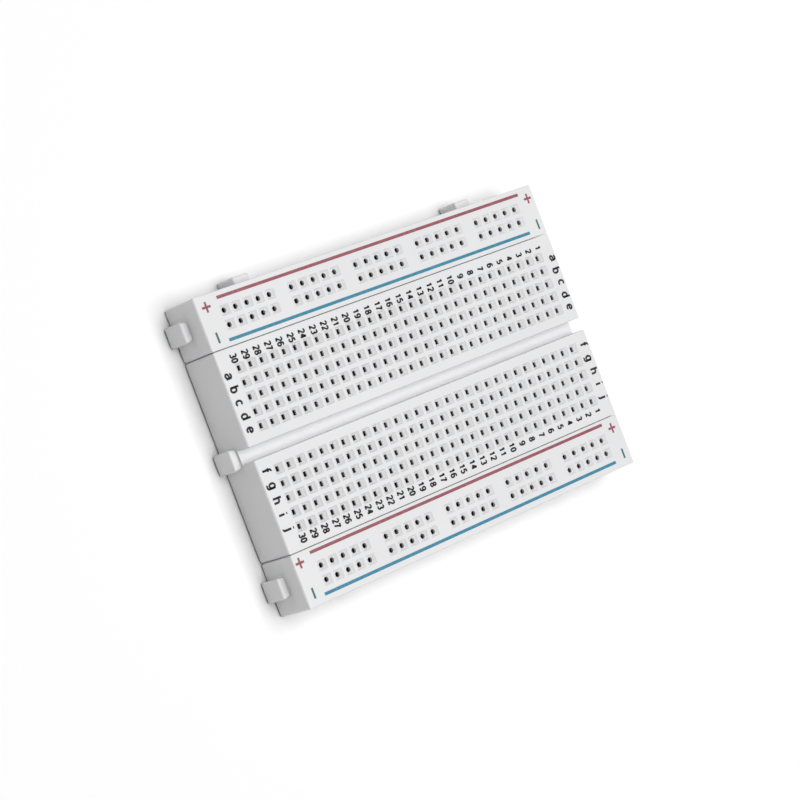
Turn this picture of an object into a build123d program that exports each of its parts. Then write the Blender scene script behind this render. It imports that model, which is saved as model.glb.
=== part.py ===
"""Half-size solderless breadboard: a terminal strip and two power rails that interlock.

Every strip is an open-bottomed moulding. Sprung contact clips stand in cavities under its tie
points, and a foam pad with a release liner closes it from below. Each moulding has dovetail lugs
on +Y and -X and matching slots on -Y and +X, open at the bottom, so a strip lifts straight up
off its neighbour's lugs.

Millimetres. The origin is under the middle of the terminal strip, on the surface that the board
lies on. +X runs along the strips towards column 1, +Y towards the upper rail, and +Z is up.
"""
from build123d import *
import os

# Tie-point grid
pitch = 2.54
columns = 30
rows_per_bank = 5
bank_gap = 7.62  # between the two rows that face each other across the ravine
rail_rows = 2
rail_group = 5  # tie points in a group of the power rails, followed by a gap of one pitch

# Mouldings
end_margin = 4.42  # from the last column to the end face
terminal_margin = 3.73  # from the outermost row to the side of the terminal strip
rail_margin = 3.455  # from a row to the side of a power rail
body_height = 8.0
seam_gap = 0.1
corner_radius = 0.5
end_edge_radius = 0.45  # top edge at the ends of a strip
side_edge_radius = 0.15  # top edge along the sides and the ravine

# Ravine down the middle of the terminal strip
ravine_width = 2.3
ravine_depth = 3.2

# Tie points: a funnel that guides the lead into a small bore; widths are along X, lengths along Y
funnel_width = 2.0
funnel_length = 1.8
terminal_funnel_depth = 0.55
terminal_bore_width = 0.7
terminal_bore_length = 0.9
rail_funnel_depth = 0.4
rail_bore_size = 0.9
rail_bore_corner = 0.35
top_wall = 0.85  # from the top face to the ceiling of the clip cavities
through_cut = 0.1  # how far a cutter runs past the face that it opens

# Interlocking lugs and slots
lug_root_width = 3.3
lug_tip_width = 3.8
lug_reach = 1.45
lug_height = 4.3
lug_edge_radius = 0.35
lug_spacing = 54.2  # between the two lugs on a long side
interlock_clearance = 0.1

# Contact clips, folded from sheet
cavity_width = 1.9
clip_side_clearance = 0.1
clip_end_clearance = 0.1
clip_top_clearance = 0.5
sheet = 0.2
finger_width = 1.9
bend_radius = 0.35
shoulder_height = 2.0
throat_height = 4.0
throat_gap = 0.12
flare_inset = 0.1
spine_height = 1.2

# Self-adhesive backing
foam_thickness = 0.4
liner_thickness = 0.1
backing_clearance = 0.2  # between the backing's edge and the deepest point of a slot
backing_corner_radius = 1.0

# Sizes that follow from the ones above
column_span = (columns - 1) * pitch
bank_span = (rows_per_bank - 1) * pitch
bank_center = bank_gap / 2 + bank_span / 2
board_length = column_span + 2 * end_margin
terminal_width = bank_gap + 2 * bank_span + 2 * terminal_margin
rail_width = (rail_rows - 1) * pitch + 2 * rail_margin
rail_center = terminal_width / 2 + seam_gap + rail_width / 2
foam_base = liner_thickness
body_base = foam_base + foam_thickness
body_top = body_base + body_height
clip_width = cavity_width - 2 * clip_side_clearance
clip_height = body_height - top_wall - clip_top_clearance
backing_inset = lug_reach + interlock_clearance - seam_gap + backing_clearance
rail_groups = columns // (rail_group + 1)
rail_slots = rail_groups * (rail_group + 1) - 1  # places along a rail, with the gaps between groups

# Positions along a row, centred on it
bank_places = [(row - (rows_per_bank - 1) / 2) * pitch for row in range(rows_per_bank)]
rail_places = [
    (slot - (rail_slots - 1) / 2) * pitch for slot in range(rail_slots) if (slot + 1) % (rail_group + 1)
]
rail_span = rail_places[-1] - rail_places[0]
rail_row_places = [(row - (rail_rows - 1) / 2) * pitch for row in range(rail_rows)]


def column_x(column):
    """Columns count from +X to -X."""
    return ((columns + 1) / 2 - column) * pitch


def tie_point_cutter(funnel_depth, width, length, corner):
    """Funnel and the bore under it, hanging from the origin; corner rounds the bore."""
    with BuildPart() as cutter:
        with BuildSketch():
            Rectangle(funnel_width, funnel_length)
        with BuildSketch(Plane.XY.offset(-funnel_depth)):
            Rectangle(width, length)
        loft()
        with BuildSketch(Plane.XY.offset(-funnel_depth)):
            Rectangle(width, length)
            if corner:
                fillet(vertices(), radius=corner)
        extrude(amount=-(top_wall + through_cut - funnel_depth))
    return cutter.part


def moulding_blank(width, ravine_width):
    """Solid strip, with its ravine if it has one, rounder along the top of its ends than its sides."""
    body_middle = body_base + body_height / 2
    with BuildPart() as blank:
        with BuildSketch(Plane.XY.offset(body_base)):
            Rectangle(board_length, width)
        extrude(amount=body_height)
        if ravine_width:
            with BuildSketch(Plane.XY.offset(body_top)):
                Rectangle(board_length, ravine_width)
            extrude(amount=-ravine_depth, mode=Mode.SUBTRACT)
        fillet(blank.edges().filter_by(Axis.Z), radius=corner_radius)
        with BuildSketch(Plane.XZ):
            with Locations((0, body_middle)):
                Rectangle(board_length, body_height)
            fillet(vertices().group_by(Axis.Y)[-1], radius=end_edge_radius)
        extrude(amount=width, both=True, mode=Mode.INTERSECT)
        with BuildSketch(Plane.YZ):
            with Locations((0, body_middle)):
                Rectangle(width, body_height)
            if ravine_width:
                with Locations((0, body_top)):
                    Rectangle(ravine_width, 2 * ravine_depth, mode=Mode.SUBTRACT)
            fillet(vertices().group_by(Axis.Y)[-1], radius=side_edge_radius)
        extrude(amount=board_length, both=True, mode=Mode.INTERSECT)
    return blank.part


def interlock_profile(clearance):
    """Dovetail outline that points along +Y from the side it grows out of; slots are larger all round."""
    root = lug_root_width / 2 + clearance
    tip = lug_tip_width / 2 + clearance
    reach = lug_reach + clearance
    with BuildSketch() as profile:
        with BuildLine():
            Polyline((-root, 0), (root, 0), (tip, reach), (-tip, reach), close=True)
        make_face()
    return profile.sketch


def interlock_sites(width):
    """Lugs stand on the long side at +Y and on the end at -X, pointing outwards."""
    sites = [Location((x, width / 2, body_base)) for x in (-lug_spacing / 2, lug_spacing / 2)]
    sites.append(Location((-board_length / 2, 0, body_base), (0, 0, 90)))
    return sites


def mating_sites(width):
    """The same lugs of the neighbours at -Y and +X, which the slots make room for."""
    sites = [
        Location((x, -width / 2 - seam_gap, body_base)) for x in (-lug_spacing / 2, lug_spacing / 2)
    ]
    sites.append(Location((board_length / 2 + seam_gap, 0, body_base), (0, 0, 90)))
    return sites


def spring_clip(places):
    """Contact clip along X: a folded spine with a pair of sprung fingers at each place."""
    leg = clip_width / 2
    throat = throat_gap / 2 + sheet
    flare = leg - flare_inset
    side = [(flare, clip_height), (throat, throat_height), (leg, shoulder_height), (leg, 0)]
    outline = [(-across, up) for across, up in side] + side[::-1]
    length = places[-1] - places[0] + finger_width
    with BuildPart() as clip:
        with BuildSketch(Plane.YZ):
            with BuildLine():
                outside = FilletPolyline(*outline, radius=bend_radius, mode=Mode.PRIVATE)
                offset(outside, amount=sheet, side=Side.LEFT, closed=True)
            make_face()
        extrude(amount=length / 2, both=True)
        with BuildSketch(Plane.XY.offset(spine_height)):
            for near, far in zip(places, places[1:]):
                with Locations(((near + far) / 2, 0)):
                    Rectangle(far - near - finger_width, 2 * cavity_width)
        extrude(amount=clip_height, mode=Mode.SUBTRACT)
    return clip.part


def write_node(part, node):
    part.label = node
    export_step(part, f"parts/{node}.step")


os.makedirs("parts", exist_ok=True)

# Cutters and clips that repeat
terminal_tie_point = tie_point_cutter(
    terminal_funnel_depth, terminal_bore_width, terminal_bore_length, 0
)
rail_tie_point = tie_point_cutter(rail_funnel_depth, rail_bore_size, rail_bore_size, rail_bore_corner)
terminal_clip = spring_clip(bank_places)
rail_clip = spring_clip(rail_places)

with BuildPart() as lug:
    with BuildSketch():
        add(interlock_profile(0))
    extrude(amount=lug_height)
    top_rim = lug.edges().group_by(Axis.Z)[-1].sort_by(Axis.Y)[1:]
    tip_corners = lug.edges().filter_by(Axis.Z).sort_by(Axis.Y)[-2:]
    fillet(top_rim + tip_corners, radius=lug_edge_radius)

# Terminal strip: two banks of columns, five tie points and one cavity to a column
with BuildPart() as terminal_strip:
    add(moulding_blank(terminal_width, ravine_width))
    with Locations(*interlock_sites(terminal_width)):
        add(lug.part)
    with BuildSketch():
        with Locations(*mating_sites(terminal_width)):
            add(interlock_profile(interlock_clearance))
    extrude(amount=body_base + lug_height + interlock_clearance, mode=Mode.SUBTRACT)
    with BuildSketch(Plane.XY.offset(body_base)):
        with GridLocations(pitch, 2 * bank_center, columns, 2):
            Rectangle(cavity_width, bank_span + finger_width + 2 * clip_end_clearance)
    extrude(amount=body_height - top_wall, mode=Mode.SUBTRACT)
    for bank in (bank_center, -bank_center):
        with Locations((0, bank, body_top)):
            with GridLocations(pitch, pitch, columns, rows_per_bank):
                add(terminal_tie_point, mode=Mode.SUBTRACT)
write_node(terminal_strip.part, "terminal_strip")

# Power rail: two rows of grouped tie points over two long cavities
with BuildPart() as power_rail:
    add(moulding_blank(rail_width, 0))
    with Locations(*interlock_sites(rail_width)):
        add(lug.part)
    with BuildSketch():
        with Locations(*mating_sites(rail_width)):
            add(interlock_profile(interlock_clearance))
    extrude(amount=body_base + lug_height + interlock_clearance, mode=Mode.SUBTRACT)
    with BuildSketch(Plane.XY.offset(body_base)):
        with GridLocations(0, pitch, 1, rail_rows):
            Rectangle(rail_span + finger_width + 2 * clip_end_clearance, cavity_width)
    extrude(amount=body_height - top_wall, mode=Mode.SUBTRACT)
    with Locations(*[(x, y, body_top) for x in rail_places for y in rail_row_places]):
        add(rail_tie_point, mode=Mode.SUBTRACT)

for rail, y in (("upper", rail_center), ("lower", -rail_center)):
    with BuildPart() as placed_rail:
        with Locations((0, y)):
            add(power_rail.part)
    write_node(placed_rail.part, f"{rail}_power_rail")

# Contact clips: two to a column, one in each bank, and one to each row of a rail
for column in range(1, columns + 1):
    with BuildPart() as column_clips:
        for bank in (bank_center, -bank_center):
            with Locations(Location((column_x(column), bank, body_base), (0, 0, 90))):
                add(terminal_clip)
    write_node(column_clips.part, f"column_{column:02d}_clips")

for rail, y in (("upper", rail_center), ("lower", -rail_center)):
    for polarity, row_y in (("minus", rail_row_places[0]), ("plus", rail_row_places[-1])):
        with BuildPart() as placed_clip:
            with Locations((0, y + row_y, body_base)):
                add(rail_clip)
        write_node(placed_clip.part, f"{rail}_{polarity}_clip")

# Backing: a foam pad and its release liner under each strip
for strip, y, width in (
    ("terminal", 0, terminal_width),
    ("upper_rail", rail_center, rail_width),
    ("lower_rail", -rail_center, rail_width),
):
    for layer, base, thickness in (
        ("foam_pad", foam_base, foam_thickness),
        ("release_liner", 0, liner_thickness),
    ):
        with BuildPart() as backing:
            with BuildSketch(Plane.XY.offset(base)):
                with Locations((0, y)):
                    RectangleRounded(
                        board_length - 2 * backing_inset, width - 2 * backing_inset, backing_corner_radius
                    )
            extrude(amount=thickness)
        write_node(backing.part, f"{strip}_{layer}")
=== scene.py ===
"""Dresses the solderless breadboard: printing, foam backing, finishes, stage and camera.

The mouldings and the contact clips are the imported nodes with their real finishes. The ink and the
backing are modelled here, one operator to each group of like pieces, as an add-on's would be.

Metres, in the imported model's frame: +X runs along the strips towards column 1, +Y towards the
upper rail, +Z is up, and the board lies on Z = 0.
"""
from math import cos, pi, radians, sin
import bmesh
import bpy
from mathutils import Matrix, Vector


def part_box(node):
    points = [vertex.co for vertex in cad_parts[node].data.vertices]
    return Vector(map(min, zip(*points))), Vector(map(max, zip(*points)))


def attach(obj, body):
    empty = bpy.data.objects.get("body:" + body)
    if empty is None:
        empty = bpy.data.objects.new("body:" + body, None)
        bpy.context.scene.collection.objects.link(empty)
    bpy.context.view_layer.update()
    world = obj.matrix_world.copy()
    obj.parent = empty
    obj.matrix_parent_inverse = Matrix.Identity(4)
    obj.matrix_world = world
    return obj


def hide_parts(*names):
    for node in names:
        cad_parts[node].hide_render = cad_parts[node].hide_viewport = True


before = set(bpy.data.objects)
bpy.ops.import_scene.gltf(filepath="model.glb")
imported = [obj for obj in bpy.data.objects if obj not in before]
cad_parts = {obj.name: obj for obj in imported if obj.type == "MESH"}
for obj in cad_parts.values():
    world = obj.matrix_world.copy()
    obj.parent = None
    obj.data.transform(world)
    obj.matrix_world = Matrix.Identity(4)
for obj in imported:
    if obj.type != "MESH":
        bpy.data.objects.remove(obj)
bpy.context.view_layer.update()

bl_info = {
    "name": "Solderless breadboard",
    "version": (1, 0, 0),
    "blender": (4, 5, 0),
    "location": "3D View > Sidebar > Breadboard",
    "description": "Prints, backs and finishes a half-size solderless breadboard",
    "category": "Object",
}

MM = 0.001
COLUMNS = 30
ROW_LETTERS = ("abcde", "fghij")  # above and below the ravine
RAILS = ("upper", "lower")

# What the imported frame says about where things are
TOP_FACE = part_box("terminal_strip")[1].z
BACKING_NODES = {
    "terminal": ("terminal_foam_pad", "terminal_release_liner"),
    "upper_rail": ("upper_rail_foam_pad", "upper_rail_release_liner"),
    "lower_rail": ("lower_rail_foam_pad", "lower_rail_release_liner"),
}
MOULDINGS = ("terminal_strip", "upper_power_rail", "lower_power_rail")
RAIL_BODY = {"upper": "upper_rail", "lower": "lower_rail"}

# Shares and counts that the modelling uses
NEAR = 0.1  # share of a size within which a point counts as being on its end
FILM_ROUNDING = 1 / 3  # of the ink's thickness
LINE_CORNER = 1 / 5  # of a line's width
MARK_CORNER = 1 / 8  # of a minus mark's width
INK_SEGMENTS = 3
BACKING_SEGMENTS = 6
MERGE_DISTANCE = 1e-5  # of a character's height
FOAM_CUTS = 3  # rows of points between the top and the bottom of the foam's side
FOAM_MIDDLE = 0.3  # of the foam's thickness either way from its middle, which takes in those rows
SMOOTH_ANGLE = radians(40)

# Where the light and the camera stand
KEY_PLACE = (0.12, 0.0, 1.5)
KEY_SIZE = 1.35
CAMERA_PLACE = (-312.47 * MM, 7.89 * MM, 359.2 * MM)
CAMERA_TURN = (radians(16.277), radians(-38.255), radians(-26.864))
CAMERA_LENS = 121.715
CAMERA_SENSOR = 36
CAMERA_CLIP = (0.01, 20)


def middle(node):
    """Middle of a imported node's box."""
    low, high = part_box(node)
    return (low + high) / 2


def column_x(column):
    return middle(f"column_{column:02d}_clips").x


PITCH = column_x(1) - column_x(2)
END_ROUNDING = 0.45 * MM  # where the mouldings' top starts to turn down to their ends
FLAT_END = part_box("terminal_strip")[1].x - END_ROUNDING
FLAT_START = -FLAT_END  # the strips are centred on X, but for their lugs


def row_y(row):
    """Rows stand 1.5 to 5.5 pitches from the ravine; row 0 is a and row 9 is j."""
    return (5.5 - row - (2 if row >= len(ROW_LETTERS[0]) else 0)) * PITCH


def rail_y(rail):
    """Middle of a power rail, halfway between its two clips."""
    return (middle(f"{rail}_plus_clip").y + middle(f"{rail}_minus_clip").y) / 2


# How the printing lies on each strip: it is printed in one pass over the assembled board, so it
# sits a little off the tie points and runs a little longer than they do.
RAIL_PRINT = {
    "upper": {
        "shift": -0.05 * MM,
        "red": (-36.4 * MM, 37.4 * MM),
        "blue": (-37.05 * MM, 36.9 * MM),
        "plus": ((-39.1 * MM, 2.62 * MM), (39.4 * MM, 2.4 * MM)),
        "minus": ((-39.1 * MM, -2.75 * MM), (39.6 * MM, -2.68 * MM)),
    },
    "lower": {
        "shift": 0.27 * MM,
        "red": (-37.15 * MM, 36.7 * MM),
        "blue": (-37.3 * MM, 36.7 * MM),
        "plus": ((-39.85 * MM, 3.0 * MM), (38.85 * MM, 2.67 * MM)),
        "minus": ((-39.4 * MM, -2.47 * MM), (39.3 * MM, -2.43 * MM)),
    },
}
NUMBER_PRINT = {
    "upper": {"y": 15.75 * MM, "stretch": 1.0168, "shift": -0.05 * MM},
    "lower": {"y": -15.93 * MM, "stretch": 1.0094, "shift": -0.17 * MM},
}
# Rows a to e are printed closer together than the tie points, in a slanting line: slant and squeeze
# are for each row from e outwards.
LETTER_PRINT = {
    "left": (
        {"x": -40.45 * MM, "slant": -0.065 * MM, "squeeze": 0.175 * MM, "shift": 0.0},
        {"x": -40.57 * MM, "slant": 0.0, "squeeze": 0.0, "shift": 0.3 * MM},
    ),
    "right": (
        {"x": 38.92 * MM, "slant": 0.12 * MM, "squeeze": 0.17 * MM, "shift": -0.13 * MM},
        {"x": 38.8 * MM, "slant": 0.0, "squeeze": 0.0, "shift": 0.0},
    ),
}


# Shapes of the characters. Each is a list of strokes on a cell whose capitals are 1 high, and a
# stroke is (closed, points along its middle).
def arc(x, y, across, up, start, end, steps=12):
    """Points on an ellipse's arc, with its angles in degrees."""
    turn = [radians(start + (end - start) * k / steps) for k in range(steps + 1)]
    return [(x + across * cos(a), y + up * sin(a)) for a in turn]


def ring(x, y, across, up, steps=16):
    return (True, arc(x, y, across, up, 90, 450 - 360 / steps, steps - 1))


def run(*points):
    return (False, list(points))


FOOT, HEAD, MEAN = 0.08, 0.92, 0.64  # middles of strokes on the base line, cap line and mean line
GLYPHS = {
    "0": [ring(0.26, 0.50, 0.18, 0.42)],
    "1": [run((0.28, FOOT), (0.28, HEAD)), run((0.10, 0.70), (0.20, 0.77), (0.28, 0.90))],
    "2": [run(*arc(0.26, 0.71, 0.18, 0.21, 165, -30), (0.08, FOOT)), run((0.05, FOOT), (0.46, FOOT))],
    "3": [run(*arc(0.25, 0.71, 0.165, 0.21, 150, -90)), run(*arc(0.25, 0.29, 0.185, 0.21, 84, -150))],
    "4": [run((0.36, FOOT), (0.36, HEAD)), run((0.35, 0.91), (0.06, 0.33)), run((0.03, 0.33), (0.48, 0.33))],
    "5": [
        run((0.43, HEAD), (0.11, HEAD)),
        run((0.14, HEAD), (0.10, 0.50)),
        run(*arc(0.25, 0.34, 0.19, 0.26, 135, -150)),
    ],
    "6": [ring(0.26, 0.33, 0.18, 0.25), run(*arc(0.27, 0.50, 0.19, 0.42, 45, 190))],
    "7": [run((0.05, HEAD), (0.46, HEAD)), run((0.43, HEAD), (0.29, 0.58), (0.19, FOOT))],
    "8": [ring(0.26, 0.715, 0.155, 0.205), ring(0.26, 0.285, 0.185, 0.205)],
    "9": [ring(0.26, 0.67, 0.18, 0.25), run(*arc(0.25, 0.50, 0.19, 0.42, 10, -135))],
    "a": [
        run(*arc(0.28, 0.46, 0.18, 0.18, 160, 0), (0.46, FOOT)),
        run((0.46, 0.42), (0.26, 0.39), *arc(0.24, 0.22, 0.16, 0.15, 100, 280), (0.46, 0.20)),
    ],
    "b": [run((0.10, FOOT), (0.10, HEAD)), ring(0.29, 0.36, 0.19, 0.28)],
    "c": [run(*arc(0.28, 0.36, 0.20, 0.28, 45, 315))],
    "d": [ring(0.27, 0.36, 0.19, 0.28), run((0.46, FOOT), (0.46, HEAD))],
    "e": [run((0.08, 0.37), (0.48, 0.37)), run(*arc(0.28, 0.36, 0.20, 0.28, 0, 315))],
    "f": [
        run(*arc(0.34, 0.78, 0.14, 0.14, 75, 180), (0.20, FOOT)),
        run((0.06, 0.62), (0.36, 0.62)),
    ],
    "g": [
        ring(0.27, 0.36, 0.19, 0.28),
        run((0.46, MEAN), *arc(0.28, -0.02, 0.18, 0.14, 0, -150)),
    ],
    "h": [run((0.10, FOOT), (0.10, HEAD)), run(*arc(0.28, 0.44, 0.18, 0.20, 180, 0), (0.46, FOOT))],
    "i": [run((0.26, FOOT), (0.26, MEAN)), run((0.26, 0.84), (0.26, 0.94))],
    "j": [
        run((0.30, MEAN), *arc(0.18, -0.02, 0.12, 0.13, 0, -110)),
        run((0.30, 0.84), (0.30, 0.94)),
    ],
}
GLYPH_WIDTH = 0.54


# Colours and shader nodes
def linear(hex_colour):
    """sRGB hex to the linear red, green and blue that Blender works in."""
    channels = [int(hex_colour[k:k + 2], 16) / 255 for k in (0, 2, 4)]
    return tuple(c / 12.92 if c <= 0.04045 else ((c + 0.055) / 1.055) ** 2.4 for c in channels)


def opaque(colour):
    return (*colour, 1.0)


def per_metre(size):
    """Scale of a texture whose features are this many metres across."""
    return 1 / size


def add_node(tree, kind, sockets=(), **settings):
    """Adds a node with its settings; each socket takes a value or is linked from another's output."""
    made = tree.nodes.new(kind)
    for name, value in settings.items():
        setattr(made, name, value)
    for name, value in dict(sockets).items():
        if isinstance(value, bpy.types.NodeSocket):
            tree.links.new(value, made.inputs[name])
        else:
            made.inputs[name].default_value = value
    return made


def new_material(name):
    """An empty material with its tree and its Object coordinates."""
    material = bpy.data.materials.new(name)
    material.use_nodes = True
    tree = material.node_tree
    tree.nodes.clear()
    place = add_node(tree, "ShaderNodeTexCoord").outputs["Object"]
    return material, tree, place


def cover(material, sockets):
    """Ends a material with a shader that has these sockets."""
    shader = add_node(material.node_tree, "ShaderNodeBsdfPrincipled", sockets)
    add_node(material.node_tree, "ShaderNodeOutputMaterial", {"Surface": shader.outputs["BSDF"]})
    return material


def noise(tree, vector, size, detail):
    """Noise whose clouds are about this many metres across."""
    return add_node(
        tree, "ShaderNodeTexNoise", {"Vector": vector, "Scale": per_metre(size), "Detail": detail}
    ).outputs["Fac"]


def bump(tree, height, depth, strength=1.0, under=None):
    """The normals of a relief this deep, laid over those of another one if it is given."""
    sockets = {"Height": height, "Strength": strength, "Distance": depth}
    if under is not None:
        sockets["Normal"] = under
    return add_node(tree, "ShaderNodeBump", sockets).outputs["Normal"]


def stretched(tree, vector, along):
    """Coordinates that draw a pattern out along X, by one over this share."""
    return add_node(
        tree, "ShaderNodeMapping", {"Vector": vector, "Scale": (along, 1.0, 1.0)}
    ).outputs["Vector"]


def spread(tree, value, low, high, to_low, to_high):
    """Maps a texture's usual range onto another one, clamped."""
    return add_node(
        tree,
        "ShaderNodeMapRange",
        {"Value": value, "From Min": low, "From Max": high, "To Min": to_low, "To Max": to_high},
    ).outputs["Result"]


def mixed(tree, factor, first, second):
    return add_node(
        tree, "ShaderNodeMix", {0: factor, 6: opaque(first), 7: opaque(second)}, data_type="RGBA"
    ).outputs[2]


def moulded_abs(settings):
    """Injection-moulded ABS from a lightly spark-eroded tool: an even satin white, a little
    translucent at its thin edges, that breaks a reflection up without looking rough."""
    material, tree, place = new_material("moulded_abs_white")
    flow = noise(tree, place, 14 * MM, 2.0)
    sink = noise(tree, place, 6 * MM, 1.0)
    # the tool's grit is about 0.05 mm, drawn at 0.3 mm so that it shows
    grit = noise(tree, place, 0.3 * MM, 3.0)
    wave = bump(tree, sink, 0.02 * MM)
    shade = spread(tree, flow, 0.3, 0.7, 0.0, 1.0)
    return cover(material, {
        "Base Color": mixed(tree, shade, settings.abs_colour, settings.abs_shade_colour),
        "Roughness": spread(tree, grit, 0.3, 0.7, 0.40, 0.50),
        "IOR": 1.54,
        "Subsurface Weight": 0.12,
        "Subsurface Radius": (1.0, 0.9, 0.8),
        "Subsurface Scale": 0.8 * MM,
        "Normal": bump(tree, grit, settings.abs_grain_depth, under=wave),
    })


def nickel_plate(settings):
    """Nickel-plated phosphor bronze strip: a warm grey metal with fine rolling lines along the
    strip and faint tarnish, sprung and folded after plating."""
    material, tree, place = new_material("nickel_plated_bronze")
    lines = noise(tree, stretched(tree, place, 0.08), 0.1 * MM, 2.0)
    tarnish = noise(tree, place, 3 * MM, 4.0)
    dullness = spread(tree, tarnish, 0.35, 0.7, 0.0, 1.0)
    return cover(material, {
        "Base Color": mixed(tree, dullness, settings.nickel_colour, settings.tarnish_colour),
        "Metallic": 1.0,
        "Roughness": spread(tree, tarnish, 0.35, 0.7, 0.24, 0.40),
        "Normal": bump(tree, lines, 0.004 * MM, strength=0.6),
    })


def pad_print_ink(name, colour):
    """Pad-printing ink on ABS: a thin even satin film, a little patchy where the pad lifted."""
    material, tree, place = new_material(name)
    patch = noise(tree, place, 0.6 * MM, 3.0)
    skin = noise(tree, place, 0.3 * MM, 2.0)
    thin = tuple(c + (1 - c) * 0.06 for c in colour)
    coverage = spread(tree, patch, 0.45, 0.75, 0.0, 1.0)
    return cover(material, {
        "Base Color": mixed(tree, coverage, colour, thin),
        "Roughness": spread(tree, skin, 0.3, 0.7, 0.42, 0.55),
        "IOR": 1.5,
        "Normal": bump(tree, skin, 0.006 * MM),
    })


def ink_of(context, ink):
    """The ink of that colour, mixed once."""
    name = f"pad_print_ink_{ink}"
    known = bpy.data.materials.get(name)
    return known or pad_print_ink(name, tuple(getattr(context.scene.breadboard_print, ink)))


def closed_cell_foam(settings):
    """Closed-cell polyethylene foam, slit from a roll: matt, with the walls of cut cells showing
    as a fine net and each cell painted a little darker inside as shade in its hollow."""
    material, tree, place = new_material("closed_cell_foam")
    wobble = noise(tree, place, 1.2 * MM, 2.0)
    cells = add_node(
        tree,
        "ShaderNodeTexVoronoi",
        {"Vector": place, "Scale": per_metre(0.35 * MM), "Randomness": 1.0},
        feature="DISTANCE_TO_EDGE",
    )
    # painted shade: each cut cell is coloured darker towards its middle, where its hollow lies in shade; the
    # same mask dents the cells
    wall = spread(tree, cells.outputs["Distance"], 0.0, 0.25, 1.0, 0.0)
    dents = bump(tree, wall, 0.08 * MM)
    return cover(material, {
        "Base Color": mixed(tree, wall, settings.foam_cell_colour, settings.foam_colour),
        "Roughness": 0.85,
        "IOR": 1.5,
        "Subsurface Weight": 0.2,
        "Subsurface Radius": (1.0, 1.0, 1.0),
        "Subsurface Scale": 0.3 * MM,
        "Normal": bump(tree, wobble, 0.1 * MM, strength=0.7, under=dents),
    })


def silicone_paper(settings):
    """Silicone-coated glassine: calendered paper with cloudy fibres under a faint slippery shine."""
    material, tree, place = new_material("silicone_release_paper")
    cloud = noise(tree, place, 4 * MM, 5.0)
    fibre = noise(tree, stretched(tree, place, 0.2), 0.25 * MM, 4.0)
    nap = bump(tree, fibre, 0.01 * MM)
    density = spread(tree, cloud, 0.35, 0.65, 0.0, 1.0)
    return cover(material, {
        "Base Color": mixed(tree, density, settings.paper_colour, settings.paper_cloud_colour),
        "Roughness": spread(tree, fibre, 0.3, 0.7, 0.38, 0.52),
        "IOR": 1.45,
        "Normal": bump(tree, cloud, 0.06 * MM, under=nap),
    })


def studio_paper(settings):
    """Matt seamless background paper, almost white."""
    material, tree, place = new_material("studio_background_paper")
    tooth = noise(tree, place, 1 * MM, 2.0)
    return cover(material, {
        "Base Color": opaque(settings.floor_colour),
        "Roughness": 0.9,
        "Specular IOR Level": 0.2,
        "Normal": bump(tree, tooth, 0.02 * MM, strength=0.3),
    })


# Modelling
def deselect_all():
    bpy.ops.object.select_all(action="DESELECT")


def choose(*objects):
    """Selects only these, the first of them active."""
    deselect_all()
    for o in objects:
        o.select_set(True)
    bpy.context.view_layer.objects.active = objects[0]


def add_sheet(name, centre, size):
    """A flat rectangle of that size, left in edit mode and wholly selected."""
    deselect_all()
    bpy.ops.mesh.primitive_plane_add(size=1, location=centre)
    made = bpy.context.active_object
    made.name = made.data.name = name
    made.scale = (size[0], size[1], 1)
    bpy.ops.object.transform_apply(location=True, rotation=True, scale=True)
    bpy.ops.object.mode_set(mode="EDIT")
    bpy.ops.mesh.select_all(action="SELECT")
    return made


def select_where(made, kind, test):
    """In edit mode, selects the edges or vertices that pass the test."""
    bpy.ops.mesh.select_all(action="DESELECT")
    bpy.ops.mesh.select_mode(type={"edges": "EDGE", "verts": "VERT"}[kind])
    mesh = bmesh.from_edit_mesh(made.data)
    for part in getattr(mesh, kind):
        if test(part):
            part.select_set(True)
    mesh.select_flush_mode()
    bmesh.update_edit_mesh(made.data)


def raise_sheet(made, height):
    """Extrudes the flat sheet upwards into a closed slab, its faces pointing outwards."""
    bpy.ops.mesh.select_all(action="SELECT")
    bpy.ops.mesh.extrude_region_move(TRANSFORM_OT_translate={"value": (0, 0, height)})
    bpy.ops.mesh.select_all(action="SELECT")
    bpy.ops.mesh.normals_make_consistent(inside=False)


def leave_edit():
    bpy.ops.object.mode_set(mode="OBJECT")


def soften_rim(made, height, radius):
    """Rounds the edges round the top of a slab that was raised to this height."""
    top = height - radius * NEAR

    def on_rim(edge):
        """At the top, and with a side face."""
        sides = [face for face in edge.link_faces if abs(face.normal.z) < 0.5]
        return bool(sides) and all(vert.co.z > top for vert in edge.verts)

    select_where(made, "edges", on_rim)
    bpy.ops.mesh.bevel(offset=radius, segments=2, profile=0.5, affect="EDGES")


def add_backing(name, low, high, corner_radius):
    """A slab with round corners that fills a packed box, left in edit mode."""
    place = ((low.x + high.x) / 2, (low.y + high.y) / 2, low.z)
    made = add_sheet(name, place, (high.x - low.x, high.y - low.y))
    bpy.ops.mesh.bevel(offset=corner_radius, segments=BACKING_SEGMENTS, affect="VERTICES")
    raise_sheet(made, high.z - low.z)
    return made


def set_material(made, material):
    made.data.materials.clear()
    made.data.materials.append(material)


def finish_cad_node(node, material):
    """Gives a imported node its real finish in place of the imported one."""
    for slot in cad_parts[node].material_slots:
        slot.link = "OBJECT"
        slot.material = material


def join_as(name, parts):
    """Joins separate shapes into one printed piece."""
    choose(*parts)
    if len(parts) > 1:
        bpy.ops.object.join()
    joined = bpy.context.active_object
    joined.name = joined.data.name = name
    return joined


def copy_to(source, transform):
    """A copy with its own mesh, placed in that mesh."""
    twin = source.copy()
    twin.data = source.data.copy()
    bpy.context.scene.collection.objects.link(twin)
    twin.data.transform(transform)
    return twin


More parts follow.
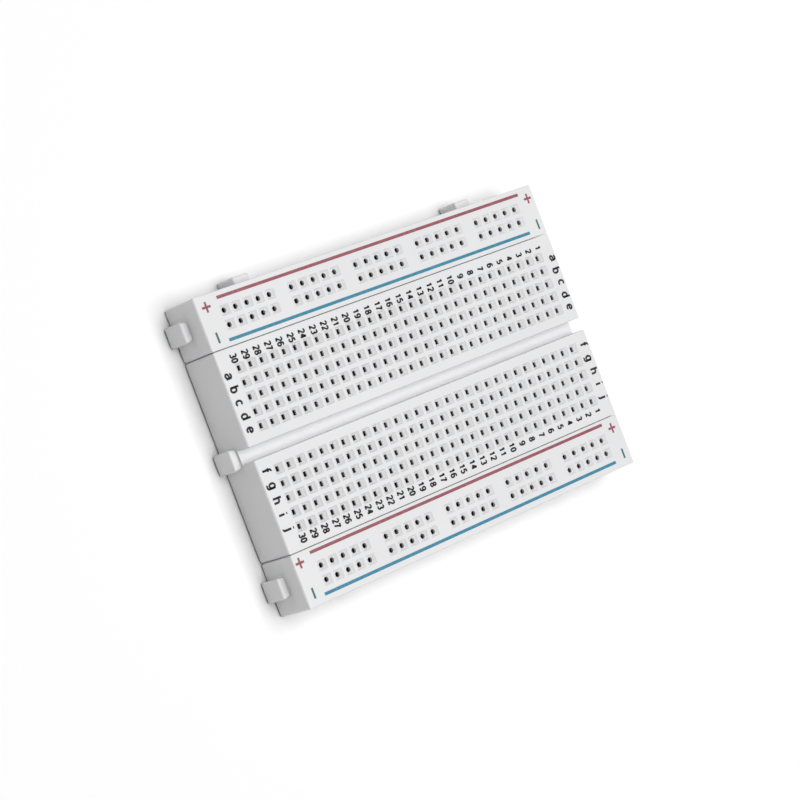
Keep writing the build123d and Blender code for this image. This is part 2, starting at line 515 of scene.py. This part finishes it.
def add_curve(name, dimensions, points, closed):
    """A curve of straight runs through these points, on the plane Z = 0."""
    curve = bpy.data.curves.new(name, "CURVE")
    curve.dimensions = dimensions
    spline = curve.splines.new("POLY")
    spline.points.add(len(points) - 1)
    for point, (x, y) in zip(spline.points, points):
        point.co = (x, y, 0, 1)
    spline.use_cyclic_u = closed
    made = bpy.data.objects.new(name, curve)
    bpy.context.scene.collection.objects.link(made)
    return made


def cut_glyph(character, width, film):
    """One character on its cell, swept along its strokes with a flat nib and made one solid."""
    half = width / 2
    nib = add_curve("nib", "2D", ((-half, 0), (half, 0), (half, film), (-half, film)), True)
    swept = []
    for closed, points in GLYPHS[character]:
        stroke = add_curve(f"stroke_{character}", "3D", points, closed)
        stroke.data.twist_mode = "Z_UP"
        stroke.data.bevel_mode = "OBJECT"
        stroke.data.bevel_object = nib
        stroke.data.use_fill_caps = True
        choose(stroke)
        bpy.ops.object.convert(target="MESH")
        swept.append(bpy.context.active_object)
    glyph = join_as(f"glyph_{character}", swept)
    bpy.data.objects.remove(nib)
    bpy.ops.object.mode_set(mode="EDIT")
    bpy.ops.mesh.select_all(action="SELECT")
    bpy.ops.mesh.remove_doubles(threshold=MERGE_DISTANCE)
    bpy.ops.mesh.normals_make_consistent(inside=False)
    leave_edit()
    return glyph


def cell_place(x, y, height, film_base):
    """Turns a character's cell to read along -Y with its top towards +X, and stands it there."""
    turn = Matrix.Rotation(-pi / 2, 4, "Z")
    return Matrix.Translation((x, y, film_base)) @ turn @ Matrix.Diagonal((height, height, 1, 1))


# Settings
class BreadboardMouldingSettings(bpy.types.PropertyGroup):
    abs_colour: bpy.props.FloatVectorProperty(
        name="ABS", description="Colour of the mouldings", subtype="COLOR", size=3, min=0, max=1,
        default=linear("E4E4E5"),
    )
    abs_shade_colour: bpy.props.FloatVectorProperty(
        name="ABS flow", description="Colour of the faint flow clouds in the mouldings", subtype="COLOR",
        size=3, min=0, max=1, default=linear("E1E1E2"),
    )
    abs_grain_depth: bpy.props.FloatProperty(
        name="Grain depth", description="Depth of the tool's spark-eroded grain", default=0.008 * MM,
        min=0, unit="LENGTH", precision=6,
    )
    nickel_colour: bpy.props.FloatVectorProperty(
        name="Nickel plate", description="Colour of the clips' plating", subtype="COLOR", size=3,
        min=0, max=1, default=linear("CBC5BA"),
    )
    tarnish_colour: bpy.props.FloatVectorProperty(
        name="Tarnish", description="Colour of the plating where it has dulled", subtype="COLOR", size=3,
        min=0, max=1, default=linear("AFA392"),
    )


class BreadboardPrintSettings(bpy.types.PropertyGroup):
    film: bpy.props.FloatProperty(
        name="Film", description="Thickness of the printed ink", default=0.02 * MM, min=0, unit="LENGTH",
        precision=6,
    )
    line_width: bpy.props.FloatProperty(
        name="Line width", description="Width of the red and blue lines", default=0.55 * MM, min=0,
        unit="LENGTH", precision=5,
    )
    line_offset: bpy.props.FloatProperty(
        name="Line offset", description="From the middle of a rail to a line's middle", default=3.64 * MM,
        min=0, unit="LENGTH", precision=5,
    )
    mark_length: bpy.props.FloatProperty(
        name="Mark length", description="Length of the plus and minus marks", default=1.85 * MM, min=0,
        unit="LENGTH", precision=5,
    )
    mark_width: bpy.props.FloatProperty(
        name="Mark width", description="Stroke width of the plus and minus marks", default=0.42 * MM,
        min=0, unit="LENGTH", precision=5,
    )
    digit_height: bpy.props.FloatProperty(
        name="Digit height", description="Height of the column numbers", default=1.48 * MM, min=0,
        unit="LENGTH", precision=5,
    )
    digit_advance: bpy.props.FloatProperty(
        name="Digit advance", description="From one digit to the next", default=0.84 * MM, min=0,
        unit="LENGTH", precision=5,
    )
    letter_height: bpy.props.FloatProperty(
        name="Letter height", description="Height of the row letters' ascenders", default=2.1 * MM,
        min=0, unit="LENGTH", precision=5,
    )
    digit_stroke: bpy.props.FloatProperty(
        name="Digit stroke", description="Stroke width of the column numbers", default=0.32 * MM,
        min=0, unit="LENGTH", precision=5,
    )
    letter_stroke: bpy.props.FloatProperty(
        name="Letter stroke", description="Stroke width of the row letters", default=0.38 * MM,
        min=0, unit="LENGTH", precision=5,
    )
    red: bpy.props.FloatVectorProperty(
        name="Red ink", description="Colour of the positive lines and marks", subtype="COLOR", size=3,
        min=0, max=1, default=linear("944B57"),
    )
    blue: bpy.props.FloatVectorProperty(
        name="Blue ink", description="Colour of the negative lines and marks", subtype="COLOR", size=3,
        min=0, max=1, default=linear("28809C"),
    )
    teal: bpy.props.FloatVectorProperty(
        name="Teal ink", description="Colour of the negative marks, where the ink lies thicker",
        subtype="COLOR", size=3, min=0, max=1, default=linear("2C6670"),
    )
    black: bpy.props.FloatVectorProperty(
        name="Black ink", description="Colour of the numbers and letters", subtype="COLOR", size=3,
        min=0, max=1, default=linear("121214"),
    )


class BreadboardBackingSettings(bpy.types.PropertyGroup):
    corner_radius: bpy.props.FloatProperty(
        name="Corner radius", description="Radius of the backing's corners", default=1.0 * MM, min=0,
        unit="LENGTH", precision=5,
    )
    bulge: bpy.props.FloatProperty(
        name="Bulge", description="How far the foam's cut side stands out at mid thickness",
        default=0.12 * MM, min=0, unit="LENGTH", precision=5,
    )
    foam_colour: bpy.props.FloatVectorProperty(
        name="Foam", description="Colour of the foam's cell walls", subtype="COLOR", size=3, min=0, max=1,
        default=linear("E9E6DC"),
    )
    # painted shade: the darker colour inside the foam's cut cells stands for the shade in their hollows
    foam_cell_colour: bpy.props.FloatVectorProperty(
        name="Foam cells", description="Colour inside the foam's cut cells", subtype="COLOR", size=3,
        min=0, max=1, default=linear("D6D2C4"),
    )
    paper_colour: bpy.props.FloatVectorProperty(
        name="Paper", description="Colour of the release paper", subtype="COLOR", size=3, min=0, max=1,
        default=linear("E8E0C8"),
    )
    paper_cloud_colour: bpy.props.FloatVectorProperty(
        name="Paper clouds", description="Colour of the paper where its fibres lie thicker",
        subtype="COLOR", size=3, min=0, max=1, default=linear("E2D9BE"),
    )


class BreadboardStageSettings(bpy.types.PropertyGroup):
    floor_colour: bpy.props.FloatVectorProperty(
        name="Floor", description="Colour of the studio floor", subtype="COLOR", size=3, min=0, max=1,
        default=linear("FAFAFA"),
    )
    floor_size: bpy.props.FloatProperty(
        name="Floor size", description="Side of the studio floor", default=6.0, min=0, unit="LENGTH"
    )
    key_power: bpy.props.FloatProperty(
        name="Key light", description="Power of the overhead softbox", default=28.4, min=0, unit="POWER"
    )
    fill: bpy.props.FloatProperty(
        name="Fill", description="Strength of the even light from all round", default=0.05, min=0
    )


# Operators, one to each group of like pieces
class BREADBOARD_OT_mouldings(bpy.types.Operator):
    """Finishes the three mouldings in white moulded ABS"""

    bl_idname = "breadboard.mouldings"
    bl_label = "Mouldings"
    bl_options = {"REGISTER", "UNDO"}

    def execute(self, context):
        material = moulded_abs(context.scene.breadboard_mouldings)
        for node in MOULDINGS:
            finish_cad_node(node, material)
        return {"FINISHED"}


class BREADBOARD_OT_contact_clips(bpy.types.Operator):
    """Finishes every contact clip in nickel-plated bronze"""

    bl_idname = "breadboard.contact_clips"
    bl_label = "Contact clips"
    bl_options = {"REGISTER", "UNDO"}

    def execute(self, context):
        material = nickel_plate(context.scene.breadboard_mouldings)
        clips = [f"column_{column:02d}_clips" for column in range(1, COLUMNS + 1)]
        clips += [f"{rail}_{polarity}_clip" for rail in RAILS for polarity in ("plus", "minus")]
        for node in clips:
            finish_cad_node(node, material)
        return {"FINISHED"}


class BREADBOARD_OT_rail_lines(bpy.types.Operator):
    """Prints the red and the blue line beside the tie points of each power rail"""

    bl_idname = "breadboard.rail_lines"
    bl_label = "Rail lines"
    bl_options = {"REGISTER", "UNDO"}

    def execute(self, context):
        printing = context.scene.breadboard_print
        for rail in RAILS:
            layout = RAIL_PRINT[rail]
            for ink, side in (("red", 1), ("blue", -1)):
                start, end = layout[ink]
                y = rail_y(rail) + layout["shift"] + side * printing.line_offset
                name = f"{rail}_{ink}_line"
                line = add_sheet(name, ((start + end) / 2, y, TOP_FACE), (end - start, printing.line_width))
                corner = printing.line_width * LINE_CORNER
                bpy.ops.mesh.bevel(offset=corner, segments=INK_SEGMENTS, affect="VERTICES")
                raise_sheet(line, printing.film)
                soften_rim(line, TOP_FACE + printing.film, printing.film * FILM_ROUNDING)
                leave_edit()
                set_material(line, ink_of(context, ink))
                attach(line, RAIL_BODY[rail])
        return {"FINISHED"}


class BREADBOARD_OT_polarity_marks(bpy.types.Operator):
    """Prints the plus and minus marks at both ends of each power rail's lines"""

    bl_idname = "breadboard.polarity_marks"
    bl_label = "Polarity marks"
    bl_options = {"REGISTER", "UNDO"}

    def execute(self, context):
        printing = context.scene.breadboard_print
        for rail in RAILS:
            layout = RAIL_PRINT[rail]
            for polarity, ink, draw in (("plus", "red", self.plus), ("minus", "teal", self.minus)):
                marks = [
                    draw(printing, (x, rail_y(rail) + offset, TOP_FACE)) for x, offset in layout[polarity]
                ]
                piece = join_as(f"{rail}_{polarity}_marks", marks)
                set_material(piece, ink_of(context, ink))
                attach(piece, RAIL_BODY[rail])
        return {"FINISHED"}

    def plus(self, printing, place):
        """A square whose four sides are drawn out into arms."""
        mark = add_sheet("plus", place, (printing.mark_width, printing.mark_width))
        arm = (printing.mark_length - printing.mark_width) / 2
        for direction in (Vector((1, 0, 0)), Vector((0, 1, 0)), Vector((-1, 0, 0)), Vector((0, -1, 0))):
            # the square's side that faces this way, by its middle
            side = Vector(place) + direction * printing.mark_width / 2

            def on_side(edge):
                middle_of_edge = (edge.verts[0].co + edge.verts[1].co) / 2
                return (middle_of_edge - side).length < printing.mark_width * NEAR

            select_where(mark, "edges", on_side)
            bpy.ops.mesh.extrude_region_move(TRANSFORM_OT_translate={"value": direction * arm})
        raise_sheet(mark, printing.film)
        soften_rim(mark, TOP_FACE + printing.film, printing.film * FILM_ROUNDING)
        leave_edit()
        return mark

    def minus(self, printing, place):
        """A bar across the rail, its corners a little round."""
        mark = add_sheet("minus", place, (printing.mark_width, printing.mark_length))
        bpy.ops.mesh.bevel(offset=printing.mark_width * MARK_CORNER, segments=2, affect="VERTICES")
        raise_sheet(mark, printing.film)
        soften_rim(mark, TOP_FACE + printing.film, printing.film * FILM_ROUNDING)
        leave_edit()
        return mark


class BREADBOARD_OT_column_numbers(bpy.types.Operator):
    """Prints the column numbers along both sides of the terminal strip"""

    bl_idname = "breadboard.column_numbers"
    bl_label = "Column numbers"
    bl_options = {"REGISTER", "UNDO"}

    def execute(self, context):
        printing = context.scene.breadboard_print
        height = printing.digit_height
        digits = {d: cut_glyph(d, printing.digit_stroke / height, printing.film) for d in "0123456789"}
        for side, layout in NUMBER_PRINT.items():
            copies = []
            for column in range(1, COLUMNS + 1):
                text = str(column)
                width = (len(text) - 1) * printing.digit_advance + GLYPH_WIDTH * height
                x = column_x(column) * layout["stretch"] + layout["shift"] - height / 2
                for place, digit in enumerate(text):
                    y = layout["y"] + width / 2 - place * printing.digit_advance
                    copies.append(copy_to(digits[digit], cell_place(x, y, height, TOP_FACE)))
            piece = join_as(f"{side}_column_numbers", copies)
            set_material(piece, ink_of(context, "black"))
            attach(piece, "terminal")
        for glyph in digits.values():
            bpy.data.objects.remove(glyph)
        return {"FINISHED"}


class BREADBOARD_OT_row_letters(bpy.types.Operator):
    """Prints the row letters at both ends of the terminal strip"""

    bl_idname = "breadboard.row_letters"
    bl_label = "Row letters"
    bl_options = {"REGISTER", "UNDO"}

    def execute(self, context):
        printing = context.scene.breadboard_print
        height = printing.letter_height
        for side, banks in LETTER_PRINT.items():
            copies = []
            for row, letter in enumerate("".join(ROW_LETTERS)):
                bank, place = divmod(row, len(ROW_LETTERS[0]))
                layout = banks[bank]
                outwards = len(ROW_LETTERS[0]) - 1 - place
                glyph = cut_glyph(letter, printing.letter_stroke / height, printing.film)
                cell = [vert.co.y * height for vert in glyph.data.vertices]
                x = layout["x"] + outwards * layout["slant"]
                # kept on the flat of the face, clear of the rounded ends
                x = min(max(x, FLAT_START - min(cell)), FLAT_END - max(cell))
                y = row_y(row) + GLYPH_WIDTH * height / 2 + layout["shift"] - outwards * layout["squeeze"]
                glyph.data.transform(cell_place(x, y, height, TOP_FACE))
                copies.append(glyph)
            piece = join_as(f"{side}_row_letters", copies)
            set_material(piece, ink_of(context, "black"))
            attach(piece, "terminal")
        return {"FINISHED"}


class BREADBOARD_OT_foam_pads(bpy.types.Operator):
    """Cuts the foam pads that close the mouldings from below"""

    bl_idname = "breadboard.foam_pads"
    bl_label = "Foam pads"
    bl_options = {"REGISTER", "UNDO"}

    def execute(self, context):
        backing = context.scene.breadboard_backing
        material = closed_cell_foam(backing)
        for body, (foam_node, _) in BACKING_NODES.items():
            low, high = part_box(foam_node)
            pad = add_backing(f"{body}_foam_backing", low, high, backing.corner_radius)
            centre, thickness = (low.z + high.z) / 2, high.z - low.z

            def upright(edge):
                return abs(edge.verts[0].co.z - edge.verts[1].co.z) > thickness / 2

            def midway(vert):
                return abs(vert.co.z - centre) < thickness * FOAM_MIDDLE

            select_where(pad, "edges", upright)
            bpy.ops.mesh.subdivide(number_cuts=FOAM_CUTS)
            select_where(pad, "verts", midway)
            bpy.ops.transform.shrink_fatten(value=backing.bulge)
            leave_edit()
            bpy.ops.object.shade_smooth_by_angle(angle=SMOOTH_ANGLE)
            set_material(pad, material)
            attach(pad, body)
            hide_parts(foam_node)
        return {"FINISHED"}


class BREADBOARD_OT_release_liners(bpy.types.Operator):
    """Cuts the release paper over the adhesive of each foam pad"""

    bl_idname = "breadboard.release_liners"
    bl_label = "Release liners"
    bl_options = {"REGISTER", "UNDO"}

    def execute(self, context):
        backing = context.scene.breadboard_backing
        material = silicone_paper(backing)
        for body, (_, liner_node) in BACKING_NODES.items():
            low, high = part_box(liner_node)
            liner = add_backing(f"{body}_release_paper", low, high, backing.corner_radius)
            leave_edit()
            set_material(liner, material)
            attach(liner, body)
            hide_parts(liner_node)
        return {"FINISHED"}


class BREADBOARD_OT_stage(bpy.types.Operator):
    """Sets up the pale floor, the soft light and the camera"""

    bl_idname = "breadboard.stage"
    bl_label = "Stage"
    bl_options = {"REGISTER", "UNDO"}

    def execute(self, context):
        stage = context.scene.breadboard_stage
        deselect_all()
        bpy.ops.mesh.primitive_plane_add(size=stage.floor_size, location=(0, 0, 0))
        floor = context.active_object
        floor.name = floor.data.name = "studio_floor"
        set_material(floor, studio_paper(stage))

        deselect_all()
        bpy.ops.object.light_add(type="AREA", location=KEY_PLACE)
        key = context.active_object
        key.name = "overhead_softbox"
        key.data.shape = "RECTANGLE"
        key.data.size, key.data.size_y = KEY_SIZE, KEY_SIZE
        key.data.energy = stage.key_power
        key.rotation_euler = (-key.location).to_track_quat("-Z", "Y").to_euler()

        world = bpy.data.worlds.new("studio_surround")
        world.use_nodes = True
        surround = world.node_tree.nodes["Background"]
        surround.inputs["Color"].default_value = opaque(linear("FFFFFF"))
        surround.inputs["Strength"].default_value = stage.fill
        context.scene.world = world
        context.scene.view_settings.view_transform = "Standard"

        deselect_all()
        bpy.ops.object.camera_add(location=CAMERA_PLACE, rotation=CAMERA_TURN)
        camera = context.active_object
        camera.name = "studio_camera"
        camera.data.sensor_width = CAMERA_SENSOR
        camera.data.lens = CAMERA_LENS
        camera.data.clip_start, camera.data.clip_end = CAMERA_CLIP
        camera.data.dof.use_dof = False
        context.scene.camera = camera
        return {"FINISHED"}


OPERATORS = (
    BREADBOARD_OT_mouldings,
    BREADBOARD_OT_contact_clips,
    BREADBOARD_OT_rail_lines,
    BREADBOARD_OT_polarity_marks,
    BREADBOARD_OT_column_numbers,
    BREADBOARD_OT_row_letters,
    BREADBOARD_OT_foam_pads,
    BREADBOARD_OT_release_liners,
    BREADBOARD_OT_stage,
)
SETTINGS = {
    "breadboard_mouldings": BreadboardMouldingSettings,
    "breadboard_print": BreadboardPrintSettings,
    "breadboard_backing": BreadboardBackingSettings,
    "breadboard_stage": BreadboardStageSettings,
}


class BREADBOARD_PT_sidebar(bpy.types.Panel):
    """Settings and operators of the breadboard"""

    bl_idname = "BREADBOARD_PT_sidebar"
    bl_label = "Solderless breadboard"
    bl_space_type = "VIEW_3D"
    bl_region_type = "UI"
    bl_category = "Breadboard"

    def draw(self, context):
        for name, group in SETTINGS.items():
            column = self.layout.box().column()
            for key in group.__annotations__:
                column.prop(getattr(context.scene, name), key)
        for operator in OPERATORS:
            self.layout.operator(operator.bl_idname)


def register():
    for made in (*SETTINGS.values(), *OPERATORS, BREADBOARD_PT_sidebar):
        bpy.utils.register_class(made)
    for name, group in SETTINGS.items():
        setattr(bpy.types.Scene, name, bpy.props.PointerProperty(type=group))


def unregister():
    for name in SETTINGS:
        delattr(bpy.types.Scene, name)
    for made in reversed((*SETTINGS.values(), *OPERATORS, BREADBOARD_PT_sidebar)):
        bpy.utils.unregister_class(made)


def main():
    register()
    bpy.ops.breadboard.mouldings()
    bpy.ops.breadboard.contact_clips()
    bpy.ops.breadboard.rail_lines()
    bpy.ops.breadboard.polarity_marks()
    bpy.ops.breadboard.column_numbers()
    bpy.ops.breadboard.row_letters()
    bpy.ops.breadboard.foam_pads()
    bpy.ops.breadboard.release_liners()
    bpy.ops.breadboard.stage()


if __name__ == "__main__":
    main()
